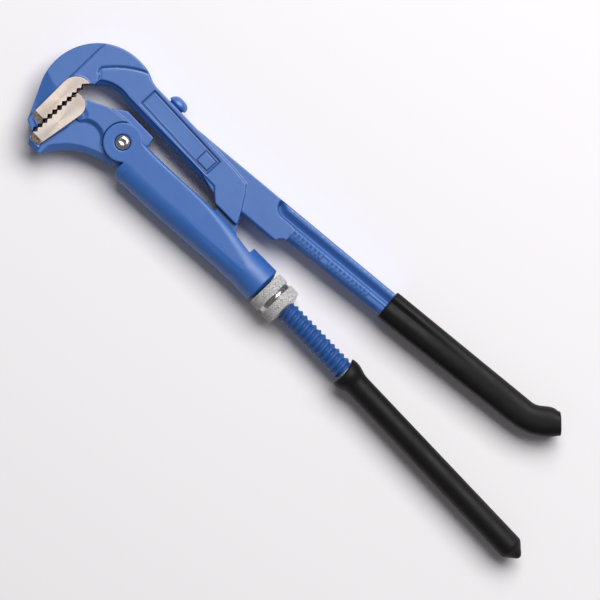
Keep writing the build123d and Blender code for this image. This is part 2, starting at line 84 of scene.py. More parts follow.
def bake_modifiers(piece):
    """Replaces a piece's mesh by what its modifiers make of it."""
    graph = bpy.context.evaluated_depsgraph_get()
    graph.update()
    mesh = bpy.data.meshes.new_from_object(piece.evaluated_get(graph))
    piece.modifiers.clear()
    piece.data = mesh
    return piece


def tube(name, rings):
    """A closed skin through rings that all have the same number of points."""
    count = len(rings[0])
    points = [point for ring in rings for point in ring]
    faces = []
    for level in range(len(rings) - 1):
        for step in range(count):
            a = level * count + step
            b = level * count + (step + 1) % count
            faces.append((a, b, b + count, a + count))
    faces.append(tuple(reversed(range(count))))
    faces.append(tuple(range((len(rings) - 1) * count, len(rings) * count)))
    piece = mesh_piece(name, points, faces)
    tidy_normals(piece)
    return piece


def tidy_normals(piece):
    work = bmesh.new()
    work.from_mesh(piece.data)
    bmesh.ops.recalc_face_normals(work, faces=work.faces)
    work.to_mesh(piece.data)
    work.free()


def cut_across(piece, y):
    """Adds an edge across a block at one y, so that its tip can lean."""
    work = bmesh.new()
    work.from_mesh(piece.data)
    parts = work.verts[:] + work.edges[:] + work.faces[:]
    bmesh.ops.bisect_plane(work, geom=parts, plane_co=at(0, y), plane_no=(0, 1, 0))
    work.to_mesh(piece.data)
    work.free()


def keep_front(piece, x):
    """Cuts a piece off behind one x and closes the cut."""
    work = bmesh.new()
    work.from_mesh(piece.data)
    parts = work.verts[:] + work.edges[:] + work.faces[:]
    bmesh.ops.bisect_plane(work, geom=parts, plane_co=at(x, 0), plane_no=(1, 0, 0), clear_outer=True)
    rim = [edge for edge in work.edges if edge.is_boundary]
    bmesh.ops.holes_fill(work, edges=rim)
    work.to_mesh(piece.data)
    work.free()


def hollow(piece, rings):
    """Turns the two end caps of a tube into a bore between its first and last ring."""
    count = len(rings[0])
    last = (len(rings) - 1) * count
    points = [vertex.co.copy() for vertex in piece.data.vertices]
    faces = [tuple(face.vertices) for face in piece.data.polygons if len(face.vertices) == 4]
    for step in range(count):
        following = (step + 1) % count
        faces.append((step, last + step, last + following, following))
    mesh = bpy.data.meshes.new(piece.name)
    mesh.from_pydata(points, [], faces)
    for face in mesh.polygons:
        face.use_smooth = True
    piece.data = mesh
    tidy_normals(piece)


# Materials ---------------------------------------------------------------------------------------


class Finish:
    """A node material that is built up in short steps."""

    def __init__(self, name):
        self.material = bpy.data.materials.new(name)
        self.material.use_nodes = True
        self.tree = self.material.node_tree
        self.shader = self.tree.nodes["Principled BSDF"]
        self.coords = self.tree.nodes.new("ShaderNodeTexCoord").outputs["Object"]

    def set(self, **sockets):
        for name, value in sockets.items():
            self.shader.inputs[name.replace("_", " ")].default_value = value

    def stretch(self, scale):
        mapping = self.tree.nodes.new("ShaderNodeMapping")
        mapping.inputs["Scale"].default_value = scale
        self.tree.links.new(self.coords, mapping.inputs["Vector"])
        return mapping.outputs["Vector"]

    def noise(self, scale, detail=3.0, rough=0.5, vector=None):
        node = self.tree.nodes.new("ShaderNodeTexNoise")
        node.inputs["Scale"].default_value = scale
        node.inputs["Detail"].default_value = detail
        node.inputs["Roughness"].default_value = rough
        self.tree.links.new(vector or self.coords, node.inputs["Vector"])
        return node.outputs["Fac"]

    def pointiness(self):
        return self.tree.nodes.new("ShaderNodeNewGeometry").outputs["Pointiness"]

    def ramp(self, value, *stops):
        """Each stop is a position with a colour, or with one number for a grey."""
        node = self.tree.nodes.new("ShaderNodeValToRGB")
        elements = node.color_ramp.elements
        while len(elements) < len(stops):
            elements.new(0.5)
        for element, (position, colour) in zip(elements, stops):
            element.position = position
            shade = colour if isinstance(colour, tuple) else (colour, colour, colour)
            element.color = (*shade, 1.0)
        self.tree.links.new(value, node.inputs["Fac"])
        return node.outputs["Color"]

    def mix(self, factor, first, second, mode="MIX"):
        node = self.tree.nodes.new("ShaderNodeMix")
        node.data_type = "RGBA"
        node.blend_type = mode
        inputs = (node.inputs[0], node.inputs[6], node.inputs[7])
        for socket, value in zip(inputs, (factor, first, second)):
            if isinstance(value, bpy.types.NodeSocket):
                self.tree.links.new(value, socket)
            elif isinstance(value, tuple):
                socket.default_value = (*value, 1.0)
            else:
                socket.default_value = value
        return node.outputs[2]

    def math(self, operation, first, second):
        node = self.tree.nodes.new("ShaderNodeMath")
        node.operation = operation
        for socket, value in zip(node.inputs, (first, second)):
            if isinstance(value, bpy.types.NodeSocket):
                self.tree.links.new(value, socket)
            else:
                socket.default_value = value
        return node.outputs[0]

    def bump(self, height, distance, strength=1.0, under=None):
        node = self.tree.nodes.new("ShaderNodeBump")
        node.inputs["Distance"].default_value = distance
        node.inputs["Strength"].default_value = strength
        self.tree.links.new(height, node.inputs["Height"])
        if under:
            self.tree.links.new(under, node.inputs["Normal"])
        return node.outputs["Normal"]

    def to(self, socket, value):
        self.tree.links.new(value, self.shader.inputs[socket])


def blue_paint(name, shade, sheen):
    """Satin enamel over a forging: painted shade in its corners, edges paler with wear and painted
    highlight, fine orange peel.
    """
    finish = Finish(name)
    finish.set(Specular_IOR_Level=0.95 * sheen, Coat_Weight=0.35 * sheen, Coat_Roughness=0.48)
    deep = tuple(part * shade for part in (0.019, 0.112, 0.40))
    light = tuple(part * shade for part in (0.024, 0.130, 0.45))
    drift = finish.ramp(finish.noise(38.0, 3.0), (0.3, deep), (0.72, light))
    # Convex edges blend towards a paler blue: partly real wear, partly a painted highlight.
    edges = finish.ramp(finish.pointiness(), (0.44, 0.0), (0.5, 0.42), (0.58, 1.0))
    rubbed_and_highlight_blue = (0.05, 0.16, 0.50)
    worn = finish.mix(finish.math("MULTIPLY", edges, 0.3), drift, rubbed_and_highlight_blue)
    # Painted shade: concave corners and creases are darkened as if in shadow.
    corners = finish.ramp(finish.pointiness(), (0.44, 0.14), (0.4955, 1.0))
    finish.to("Base Color", finish.mix(1.0, worn, corners, "MULTIPLY"))
    finish.to("Roughness", finish.ramp(finish.noise(90.0, 4.0), (0.3, 0.43), (0.7, 0.55)))
    skin = finish.bump(finish.noise(150.0, 2.0), 0.00012, 0.6)
    finish.to("Normal", finish.bump(finish.noise(900.0, 2.0), 0.00003, 0.5, skin))
    return finish.material


def grip_vinyl():
    """Dipped vinyl: near black, softly shining, with faint ripples and specks of dust."""
    finish = Finish("dipped_vinyl")
    finish.set(Specular_IOR_Level=0.2)
    deep, light = (0.0062, 0.0058, 0.0058), (0.0096, 0.0090, 0.0090)
    base = finish.ramp(finish.noise(60.0, 4.0), (0.3, deep), (0.75, light))
    dust = finish.ramp(finish.noise(1500.0, 2.0, 0.6), (0.68, 0.0), (0.8, 0.5))
    finish.to("Base Color", finish.mix(dust, base, (0.035, 0.034, 0.034)))
    finish.to("Roughness", finish.ramp(finish.noise(120.0, 3.0), (0.3, 0.46), (0.7, 0.58)))
    ripple = finish.bump(finish.noise(70.0, 2.0), 0.0004, 0.4)
    finish.to("Normal", finish.bump(finish.noise(1100.0, 3.0), 0.00004, 0.5, ripple))
    return finish.material


def ground_steel():
    """Bright ground faces of the jaws: fine one-way grinding lines and a warm cast."""
    finish = Finish("ground_steel")
    finish.set(Metallic=0.85, Anisotropic=0.3)
    lines = finish.noise(1.0, 4.0, 0.6, finish.stretch((500.0, 5000.0, 500.0)))
    patches = finish.noise(140.0, 4.0, 0.6)
    tone = finish.ramp(lines, (0.3, (0.66, 0.58, 0.535)), (0.7, (0.82, 0.735, 0.68)))
    stain = finish.ramp(patches, (0.3, (0.86, 0.80, 0.74)), (0.62, (1.0, 1.0, 1.0)))
    finish.to("Base Color", finish.mix(1.0, tone, stain, "MULTIPLY"))
    finish.to("Roughness", finish.ramp(patches, (0.3, 0.56), (0.7, 0.44)))
    finish.to("Normal", finish.bump(lines, 0.00003, 0.5))
    return finish.material


def scorched_steel():
    """The brownish, hardened flanks of the teeth."""
    finish = Finish("scorched_steel")
    finish.set(Metallic=0.7)
    patches = finish.noise(420.0, 4.0, 0.6)
    tone = finish.ramp(patches, (0.3, (0.055, 0.045, 0.038)), (0.7, (0.19, 0.155, 0.125)))
    finish.to("Base Color", tone)
    finish.to("Roughness", finish.ramp(patches, (0.3, 0.62), (0.7, 0.45)))
    finish.to("Normal", finish.bump(patches, 0.00005, 0.5))
    return finish.material


def worn_steel():
    """The heat-browned, worn-down tips of the ground faces."""
    finish = Finish("worn_steel")
    finish.set(Metallic=0.1, Specular_IOR_Level=0.3)
    patches = finish.noise(800.0, 4.0, 0.6)
    scorched, brown, bare = (0.08, 0.058, 0.044), (0.21, 0.16, 0.126), (0.42, 0.35, 0.30)
    tone = finish.ramp(patches, (0.32, scorched), (0.5, brown), (0.66, bare))
    finish.to("Base Color", tone)
    finish.to("Roughness", finish.ramp(patches, (0.3, 0.6), (0.7, 0.42)))
    finish.to("Normal", finish.bump(patches, 0.0001, 0.5))
    return finish.material


def dark_steel():
    """Blued spring steel with an oily sheen."""
    finish = Finish("blued_steel")
    finish.set(Metallic=0.9)
    patches = finish.noise(160.0, 4.0, 0.6)
    tone = finish.ramp(patches, (0.3, (0.022, 0.023, 0.028)), (0.7, (0.055, 0.05, 0.05)))
    finish.to("Base Color", tone)
    finish.to("Roughness", finish.ramp(patches, (0.3, 0.34), (0.7, 0.5)))
    lines = finish.noise(1.0, 3.0, 0.5, finish.stretch((300.0, 300.0, 3000.0)))
    finish.to("Normal", finish.bump(lines, 0.00003, 0.4))
    return finish.material


def polished_steel():
    """A peened and polished rivet head."""
    finish = Finish("polished_steel")
    finish.set(Metallic=1.0)
    patches = finish.noise(700.0, 3.0, 0.5)
    tone = finish.ramp(patches, (0.3, (0.72, 0.70, 0.66)), (0.7, (0.86, 0.85, 0.82)))
    finish.to("Base Color", tone)
    finish.to("Roughness", finish.ramp(patches, (0.3, 0.17), (0.7, 0.27)))
    finish.to("Normal", finish.bump(finish.noise(500.0, 2.0), 0.00006, 0.3))
    return finish.material


def zinc_plate(name, metallic, roughest, bump_height):
    """Zinc plating: a grainy silver grey."""
    finish = Finish(name)
    finish.set(Metallic=metallic, Diffuse_Roughness=1.0)
    grain = finish.noise(1300.0, 4.0, 0.7)
    tone = finish.ramp(grain, (0.36, (0.30, 0.295, 0.29)), (0.62, (0.68, 0.675, 0.67)))
    finish.to("Base Color", tone)
    finish.to("Roughness", finish.ramp(grain, (0.3, roughest), (0.7, roughest * 0.7)))
    finish.to("Normal", finish.bump(finish.noise(2600.0, 2.0), bump_height, 0.5))
    return finish.material


PAINT = blue_paint("blue_enamel", shade=1.0, sheen=1.0)
SLEEVE_PAINT = blue_paint("sleeve_enamel", shade=1.0, sheen=0.74)
# The thread's paint is a darker copy of the blue enamel: painted shade for its shaded flanks and roots.
THREAD_SHADED_PAINT = blue_paint("thread_enamel_painted_shade", shade=0.66, sheen=0.35)
VINYL = grip_vinyl()
GROUND = ground_steel()
SCORCHED = scorched_steel()
WORN = worn_steel()
BLUED = dark_steel()
POLISHED = polished_steel()
ZINC = zinc_plate("zinc_knurl", metallic=0.15, roughest=0.7, bump_height=0.00006)
ZINC_GROOVE = zinc_plate("zinc_turned", metallic=0.9, roughest=0.2, bump_height=0.00001)


def finish_piece(piece, body, slot, *materials):
    """Gives a piece its materials, keeping each face's choice, and sets its body; the slot argument is
    not used.
    """
    choices = [face.material_index for face in piece.data.polygons]
    piece.data.materials.clear()
    for material in materials:
        piece.data.materials.append(material)
    for face, choice in zip(piece.data.polygons, choices):
        face.material_index = min(choice, len(materials) - 1)
    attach(piece, body)
    return piece


# Outlines and heights ----------------------------------------------------------------------------


def bezier(a, b, c, d, count):
    """Points along a cubic curve, without its first end."""
    points = []
    for step in range(1, count + 1):
        t = step / count
        s = 1 - t
        points.append(tuple(
            s ** 3 * pa + 3 * s * s * t * pb + 3 * s * t * t * pc + t ** 3 * pd
            for pa, pb, pc, pd in zip(a, b, c, d)
        ))
    return points


def arc(centre, radius, start, end, count):
    """Points on an arc between two compass angles in degrees."""
    points = []
    for step in range(count + 1):
        angle = math.radians(start + (end - start) * step / count)
        points.append((centre[0] + radius * math.cos(angle), centre[1] + radius * math.sin(angle)))
    return points


def rectangle(centre, length, width, lean):
    """The closed path of a leaning rectangle."""
    turn = math.radians(lean)
    points = []
    for across, up in ((-1, -1), (1, -1), (1, 1), (-1, 1), (-1, -1)):
        x, y = across * length / 2, up * width / 2
        points.append((
            centre[0] + x * math.cos(turn) - y * math.sin(turn),
            centre[1] + x * math.sin(turn) + y * math.cos(turn),
        ))
    return points


def blend_points(a, b, share):
    """The point that lies a share of the way from a to b."""
    return tuple(pa + (pb - pa) * share for pa, pb in zip(a, b))


def inside(outline, x, y):
    """True where a point lies inside a closed outline."""
    hit = False
    for (xa, ya), (xb, yb) in zip(outline, outline[1:] + outline[:1]):
        if (ya > y) != (yb > y) and x < (xb - xa) * (y - ya) / (yb - ya) + xa:
            hit = not hit
    return hit


def distance_to(path, x, y):
    """How far a point lies from an open path."""
    best = 1e9
    for (xa, ya), (xb, yb) in zip(path, path[1:]):
        run, rise = xb - xa, yb - ya
        share = ((x - xa) * run + (y - ya) * rise) / (run * run + rise * rise)
        share = min(max(share, 0.0), 1.0)
        best = min(best, math.hypot(x - xa - run * share, y - ya - rise * share))
    return best


def smooth(value, start, end):
    """0 up to start, 1 from end on, and a smooth rise between them."""
    share = min(max((value - start) / (end - start), 0.0), 1.0)
    return share * share * (3 - 2 * share)


def lowered(z, level):
    """A height brought down to a level, on both faces alike."""
    return math.copysign(min(abs(z), level), z)


def signed_power(value, power):
    return math.copysign(abs(value) ** power, value)


# Toothed blocks of the jaws ----------------------------------------------------------------------

JAW_LINE_X = -32.55
JAW_LINE_SLOPE = 0.043
TOOTH_COUNT = 9
TOOTH_PITCH = 3.1
TOOTH_DEPTH = 1.25
TOOTH_GAP = 0.4
HOOK_NOTCH = 5.2
JAW_NOTCH = -1.0
PAD_LEVEL = 7.9
PAD_EDGE = 0.22
PAD_EDGE_ANGLE = 50
PAD_TOP = 9.5
PAD_BACK = [(-26.9, -28.0), (-23.5, -5.5)]
FLAT_ENOUGH = 0.6
WORN_OVERLAP = 0.5

# The painted forging under a block: how far it keeps behind the teeth and below the ground face.
CLEAR_OF_TEETH = 1.2
CLEAR_MOST = 4.0
CLEAR_MARGIN = 0.6
SUNK_BY = 1.6

# Each worn tip: where it starts, where the block ends, and how far its face has dropped there.
HOOK_TIP = (-19.4, -23.0, 0.9)
JAW_TIP = (-27.4, -30.6, 0.8)


def jaw_line(y):
    """The line between the two rows of teeth."""
    return JAW_LINE_X + JAW_LINE_SLOPE * y


def teeth(first_notch, side):
    """The zigzag of a row of teeth: side is -1 on the hook and +1 on the moving jaw."""
    points = []
    for tooth in range(TOOTH_COUNT):
        notch = first_notch - tooth * TOOTH_PITCH
        tip = notch + TOOTH_PITCH / 2
        points.append((jaw_line(tip) + side * TOOTH_GAP / 2, tip))
        points.append((jaw_line(notch) + side * (TOOTH_GAP / 2 + TOOTH_DEPTH), notch))
    last = first_notch - (TOOTH_COUNT - 0.5) * TOOTH_PITCH
    points.append((jaw_line(last) + side * TOOTH_GAP / 2, last))
    return points


def hook_pad_outline():
    """The hook's block: its teeth, a blunt tip and a round back."""
    start, back = (-31.2, 8.2), (-40.5, 0.0)
    points = [start] + teeth(HOOK_NOTCH, -1)
    points += [(-33.9, -22.9), (-38.8, -22.6), (-40.2, -20.4), back]
    points += bezier(back, (-40.5, 4.6), (-37.0, 8.7), start, 12)[:-1]
    return points


def jaw_pad_outline():
    """The moving jaw's block: its teeth, a blunt tip, a straight back and a round root."""
    start = (-31.6, 0.9)
    points = [start] + teeth(JAW_NOTCH, 1)
    points += [(-33.2, -28.8), (-31.4, -30.6), (-27.6, -30.2)] + PAD_BACK
    points += bezier(PAD_BACK[-1], (-23.0, -1.6), (-26.6, 2.4), start, 12)[:-1]
    return points


HOOK_PAD = hook_pad_outline()
JAW_PAD = jaw_pad_outline()


def pad_block(name, outline, tip_start, tip_end, drop):
    """The toothed block of a jaw, whose materials are ground faces, scorched flanks and worn tip."""
    points, faces = [], []
    count = len(outline)
    for side in (1, -1):
        for x, y in outline:
            points.append(at(x, y, side * PAD_LEVEL))
    faces.append(tuple(range(count)))
    faces.append(tuple(reversed(range(count, 2 * count))))
    for step in range(count):
        following = (step + 1) % count
        faces.append((step, step + count, following + count, following))
    piece = mesh_piece(name, points, faces, smooth=False)
    tidy_normals(piece)
    cut_across(piece, tip_start)
    for vertex in piece.data.vertices:
        x, y, z = local(vertex.co)
        share = min(max((tip_start - y) / (tip_start - tip_end), 0.0), 1.0)
        vertex.co = at(x, y, z - math.copysign(drop * share, z))
    edge = piece.modifiers.new("edge", "BEVEL")
    edge.width = PAD_EDGE * MM
    edge.segments = 2
    edge.limit_method = "ANGLE"
    edge.angle_limit = math.radians(PAD_EDGE_ANGLE)
    bake_modifiers(piece)
    ground, flank, worn = range(3)
    for face in piece.data.polygons:
        if abs(face.normal.z) < FLAT_ENOUGH:
            face.material_index = flank
        elif local(face.center).y > tip_start - WORN_OVERLAP:
            face.material_index = ground
        else:
            face.material_index = worn
    return piece


def sunk_under_pad(x, y, z, outline, side, last_y):
    """Keeps a forging clear of the toothed block that covers it."""
    if last_y < y < PAD_TOP:
        reach = jaw_line(y) + side * (TOOTH_DEPTH + CLEAR_OF_TEETH)
        over = (x - reach) * side < 0 and abs(x - reach) < CLEAR_MOST
        if over and inside(outline, x + side * CLEAR_MARGIN, y):
            x = reach
        if inside(outline, x, y):
            z = lowered(z, PAD_LEVEL - SUNK_BY)
    return x, y, z


# Forgings ----------------------------------------------------------------------------------------


def forging(name, node, voxel, rounds, keep_faces, shape=None):
    """A CAD piece with the soft edges of a forging, moulded further by shape(x, y, z).

    The voxel is the size of its net in millimetres, rounds is how often that is smoothed, and
    keep_faces is about how many triangles stay.
    """
    piece = link(bpy.data.objects.new(name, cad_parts[node].data.copy()))
    remesh = piece.modifiers.new("remesh", "REMESH")
    remesh.mode = "VOXEL"
    remesh.voxel_size = voxel * MM
    remesh.adaptivity = 0.0
    soften = piece.modifiers.new("soften", "SMOOTH")
    soften.factor = 0.5
    soften.iterations = rounds
    bake_modifiers(piece)
    if shape:
        for vertex in piece.data.vertices:
            vertex.co = at(*shape(*local(vertex.co)))
    faces = len(piece.data.polygons) * 2
    if faces > keep_faces:
        thin = piece.modifiers.new("thin", "DECIMATE")
        thin.ratio = keep_faces / faces
    bake_modifiers(piece)
    for face in piece.data.polygons:
        face.use_smooth = True
    return piece


# Fixed leg ---------------------------------------------------------------------------------------

# Half the width of the fine lines that the relief draws along a path.
LINE_HALF = 0.1

# The hook's step: its path, the plate below it, and where the leg is thick enough to have it.
PLATE_LEVEL = 6.7
STEP_CENTRE = (4.1, -9.0)
STEP_RADIUS = 45.0
STEP_PATH = arc(STEP_CENTRE, STEP_RADIUS, 115.2, 144.0, 14)
STEP_PATH += [(-32.4, 16.4), (-31.9, 15.4), (-30.8, 15.2), (-29.3, 13.0)]
STEP_LINE_DEPTH = 0.15
STEP_LINE_END = 0.7
STEP_RISE = 0.85
STEP_RISE_END = 1.3
STEP_SPLIT = 7.05
STEP_X = (-36.0, -12.0)
STEP_LEAST_Y = 11.0
STEP_LEAST_Z = 6.0

# The crescent in front of the hook's ring, and the fall towards the hook's tip.
HOOK_LEVEL = 7.4
CRESCENT_X = -41.0
CRESCENT_LEVEL = HOOK_LEVEL - 1.5
CRESCENT_RISE = 1.5
CRESCENT_RISE_X = (CRESCENT_X - 0.2, CRESCENT_X + 1.7)
CRESCENT_END_X = CRESCENT_X + 1.8
CRESCENT_LEAN = 0.16
CRESCENT_LEAST_Z = 3.0
TIP_START = (CRESCENT_X + 1.0, -1.0)
TIP_WAY = (0.69, 0.72)
TIP_FALL = 3.4
TIP_FALL_START = 2.0
TIP_FALL_END = 15.0

# The shank's sunk panel and the small frame at its end.
PANEL_LEAN = -1.3
PANEL_PATH = rectangle((15.8, 23.2), 45.6, 8.2, PANEL_LEAN)
PANEL_LEVEL = 6.1
PANEL_EDGE_DEPTH = 0.95
PANEL_EDGE_END = 0.75
PANEL_X = (-9.0, 41.0)
PANEL_Y = (17.0, 29.0)
PANEL_LEAST_Z = 5.0
MARK_PATH = rectangle((34.2, 22.6), 7.4, 6.6, PANEL_LEAN)
MARK_LINE_DEPTH = 0.4
MARK_LINE_RISE = 1.1
MARK_LINE_END = 0.5

# The handle bar: its rim starts at a point and rises with x. Below the rim lie a groove, which has
# a top, a foot and a level, and a flat.
BAR_START = (85.0, 37.15)
BAR_RISE = 0.1103
BAR_COSINE = 0.994
BAR_ROUND_X = 79.0
BAR_RELIEF_X = BAR_ROUND_X - 10.0
BAR_WIDTH = 8.4
BAR_MARGIN = 0.25
BAR_LEAST_Z = 2.5
RIM_LEVEL = 5.9
RIM_ROUND = 0.7
RIM_FALL = 0.9
BAR_GROOVE_LEVEL = 3.7
BAR_GROOVE_TOP = 1.9
BAR_GROOVE_FOOT = 5.6
BAR_GROOVE_LEAST = 0.3
BAR_GROOVE_FULL = 3.0
FLAT_START = 5.7
FLAT_FROM = 6.9
FLAT_LEVEL = 6.0
FLAT_FALL = 0.008
FLAT_STEP = 0.45
FLAT_STEP_X = (85.5, 87.0)

# The grip's mouth, which leans with the vinyl's lip, and the bar's end under the grip.
GRIP_MOUTH = (143.35, 45.0)
MOUTH_LEAN = 0.1
GRIPPED_LEVEL = 4.4
GRIPPED_LENGTH = 5.0


def hook_step(x, y, z):
    """The thick hook's step down to the plate, with a fine line along its foot."""
    if STEP_X[0] < x < STEP_X[1] and y > STEP_LEAST_Y and abs(z) > STEP_LEAST_Z:
        gap = distance_to(STEP_PATH, x, y)
        if abs(z) > STEP_SPLIT:
            rise = STEP_RISE * smooth(gap, LINE_HALF, STEP_RISE_END)
            z = lowered(z, PLATE_LEVEL - STEP_LINE_DEPTH + rise)
        else:
            line = 1 - smooth(gap, LINE_HALF, STEP_LINE_END)
            z = lowered(z, PLATE_LEVEL - STEP_LINE_DEPTH * line)
    return z


def crescent(x, y, z):
    """The crescent's step below the ring, and its smooth fall towards the hook's tip."""
    if x < CRESCENT_END_X and abs(z) > CRESCENT_LEAST_Z:
        level = CRESCENT_LEVEL - CRESCENT_LEAN * max(CRESCENT_X - x, 0.0)
        z = lowered(z, level + CRESCENT_RISE * smooth(x, *CRESCENT_RISE_X))
        outwards = TIP_WAY[0] * (TIP_START[0] - x) + TIP_WAY[1] * (TIP_START[1] - y)
        if x < TIP_START[0]:
            z = lowered(z, CRESCENT_LEVEL - TIP_FALL * smooth(outwards, TIP_FALL_START, TIP_FALL_END))
    return z


def panel(x, y, z):
    """The steep edge of the shank's panel, and the fine line around the frame at its end."""
    if PANEL_X[0] < x < PANEL_X[1] and PANEL_Y[0] < y < PANEL_Y[1] and abs(z) > PANEL_LEAST_Z:
        edge = smooth(distance_to(PANEL_PATH, x, y), LINE_HALF, PANEL_EDGE_END)
        mark = smooth(distance_to(MARK_PATH, x, y), LINE_HALF, MARK_LINE_END)
        edge_level = PLATE_LEVEL - PANEL_EDGE_DEPTH + PANEL_EDGE_DEPTH * edge
        mark_level = PANEL_LEVEL - MARK_LINE_DEPTH + MARK_LINE_RISE * mark
        z = lowered(z, min(edge_level, mark_level))
    return z


def bar_relief(x, y, z):
    """The handle bar's round rim, which rolls down into one groove with a round start."""
    down = (BAR_START[1] + BAR_RISE * (x - BAR_START[0]) - y) * BAR_COSINE
    across = math.hypot(max(BAR_ROUND_X - x, 0.0), down)
    if down < BAR_MARGIN or across > BAR_WIDTH or abs(z) < BAR_LEAST_Z:
        return z
    flat = FLAT_LEVEL - FLAT_FALL * max(x - BAR_START[0], 0.0) - FLAT_STEP * smooth(x, *FLAT_STEP_X)
    if across > FLAT_FROM:
        return math.copysign(max(abs(z), flat), z)
    share = BAR_GROOVE_LEAST + (1 - BAR_GROOVE_LEAST) * smooth(down, 0.0, BAR_GROOVE_FULL)
    depth = (RIM_LEVEL - BAR_GROOVE_LEVEL) * share
    rolled = RIM_FALL * max(RIM_ROUND - down, 0.0)
    level = RIM_LEVEL - depth * smooth(across, BAR_GROOVE_TOP, BAR_GROOVE_FOOT) - rolled
    level += (flat - level) * smooth(across, FLAT_START, FLAT_FROM)
    return math.copysign(level, z)


def leg_relief(x, y, z):
    """The fixed leg's steps, panel, handle bar and gripped end, drawn wider than their edges."""
    z = hook_step(x, y, z)
    z = crescent(x, y, z)
    z = panel(x, y, z)
    mouth_x = GRIP_MOUTH[0] + MOUTH_LEAN * (GRIP_MOUTH[1] - y)
    if BAR_RELIEF_X < x < mouth_x:
        z = bar_relief(x, y, z)
    if x > mouth_x:
        z = lowered(z, GRIPPED_LEVEL)
    return sunk_under_pad(x, y, z, HOOK_PAD, -1, HOOK_TIP[1])


def fixed_leg():
    piece = forging("fixed_leg_forging", "fixed_leg", 0.32, 4, keep_faces=195000, shape=leg_relief)
    keep_front(piece, GRIP_MOUTH[0] + GRIPPED_LENGTH)
    finish_piece(piece, "fixed_leg", "blue_paint", PAINT)
    pad = pad_block("hook_teeth", HOOK_PAD, *HOOK_TIP)
    finish_piece(pad, "fixed_leg", "ground_steel", GROUND, SCORCHED, WORN)
    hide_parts("fixed_leg")


# Moving jaw --------------------------------------------------------------------------------------

# The bevel along the lower edge: its path, width and slope, and the levels it falls from.
LOWER_EDGE = [(-31.0, -33.3), (-25.0, -33.3), (-23.9, -32.4), (-20.6, -26.6), (-17.0, -22.2)]
LOWER_EDGE += bezier(LOWER_EDGE[-1], (-12.5, -17.6), (-5.0, -13.6), (4.8, -11.8), 10)
BEVEL_WIDTH = 2.9
BEVEL_SLOPE = 0.8
BEVEL_MOST_Y = -8.0
BEVEL_LEAST_Z = 2.0
FAN_LEVEL = 5.3
FAN_X = -24.0
NOSE_LEVEL = 7.2

# The shoulder beside the toothed block: level with it, then a dip and a rise.
SHOULDER_LEVEL = 7.75
SHOULDER_DIP = 1.1
SHOULDER_RISE = 0.7
SHOULDER_DIP_WIDTH = 1.5
SHOULDER_WIDTH = 5.0
SHOULDER_LEAST_X = -34.0
SHOULDER_MOST_Y = 6.0
SHOULDER_LEAST_Z = 3.0
JAW_SUNK_END = -31.0


def jaw_relief(x, y, z):
    """The moving jaw's bevel along its lower edge and the shoulder beside its toothed block."""
    if y < BEVEL_MOST_Y and abs(z) > BEVEL_LEAST_Z:
        gap = distance_to(LOWER_EDGE, x, y)
        level = FAN_LEVEL if x > FAN_X else NOSE_LEVEL
        z = lowered(z, level - BEVEL_SLOPE * max(BEVEL_WIDTH - gap, 0.0))
    near = x > SHOULDER_LEAST_X and y < SHOULDER_MOST_Y and abs(z) > SHOULDER_LEAST_Z
    if near and not inside(JAW_PAD, x, y):
        gap = distance_to(PAD_BACK, x, y)
        level = SHOULDER_LEVEL - SHOULDER_DIP * smooth(gap, LINE_HALF, SHOULDER_DIP_WIDTH)
        z = lowered(z, level + SHOULDER_RISE * smooth(gap, SHOULDER_DIP_WIDTH, SHOULDER_WIDTH))
    return sunk_under_pad(x, y, z, JAW_PAD, 1, JAW_SUNK_END)


def moving_jaw():
    piece = forging("moving_jaw_forging", "moving_jaw", 0.26, 4, keep_faces=120000, shape=jaw_relief)
    finish_piece(piece, "moving_jaw", "blue_paint", PAINT)
    pad = pad_block("moving_jaw_teeth", JAW_PAD, *JAW_TIP)
    finish_piece(pad, "moving_jaw", "ground_steel", GROUND, SCORCHED, WORN)
    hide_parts("moving_jaw")


# Sleeve ------------------------------------------------------------------------------------------

# The sleeve's flat sides end at an edge that rises towards the nut, and its belly curves in below.
CHEEK_LEVEL = 8.3
CHEEK_GROWTH = 1.2
CHEEK_GROWTH_X = (40.0, 84.0)
BELLY_START_X = 11.0
BELLY_END_X = 82.0
FLAT_EDGE_Y = -4.6
FLAT_EDGE_RISE = 4.4
BELLY_CORNER = (9.0, -15.1)
BELLY_SLOPE = 0.076
BELLY_SHARE = 0.985
BELLY_LEAST_Z = 1.5
MOST_CUT = 0.8


def sleeve_relief(x, y, z):
    """Lets the sleeve's flat sides fall away early and evenly into its belly."""
    if BELLY_START_X < x < BELLY_END_X and abs(z) > BELLY_LEAST_Z:
        flat_edge = FLAT_EDGE_Y + FLAT_EDGE_RISE * smooth(x, BELLY_START_X, BELLY_END_X)
        belly = BELLY_CORNER[1] + BELLY_SLOPE * (x - BELLY_CORNER[0])
        share = min(max((flat_edge - y) / (flat_edge - belly), 0.0), BELLY_SHARE)
        level = CHEEK_LEVEL + CHEEK_GROWTH * smooth(x, *CHEEK_GROWTH_X)
        z = lowered(z, max(level * math.sqrt(1 - share * share), abs(z) - MOST_CUT))
    return x, y, z


def sleeve():
    piece = forging("sleeve_forging", "sleeve", 0.28, 5, keep_faces=170000, shape=sleeve_relief)
    finish_piece(piece, "sleeve", "blue_paint", SLEEVE_PAINT)
    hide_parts("sleeve")


# Spindle -----------------------------------------------------------------------------------------

THREAD_PITCH = 3.15
THREAD_ROOT = 4.45
THREAD_CREST = 5.45
THREAD_START = 91.0
THREAD_END = 153.0
THREAD_STEPS = 72
RINGS_PER_TURN = 14
RUN_OUT_LEVEL = 0.9

# The plain stem in front of the thread: x and radius at its end and behind its chamfer.
STEM_FRONT = (68.6, 4.9)
STEM_SHOULDER = (69.0, 5.35)
FORK_END = 69.4


def around_x(x, radius, angle):
    return at(x, SPINDLE_Y + radius * math.cos(angle), radius * math.sin(angle))


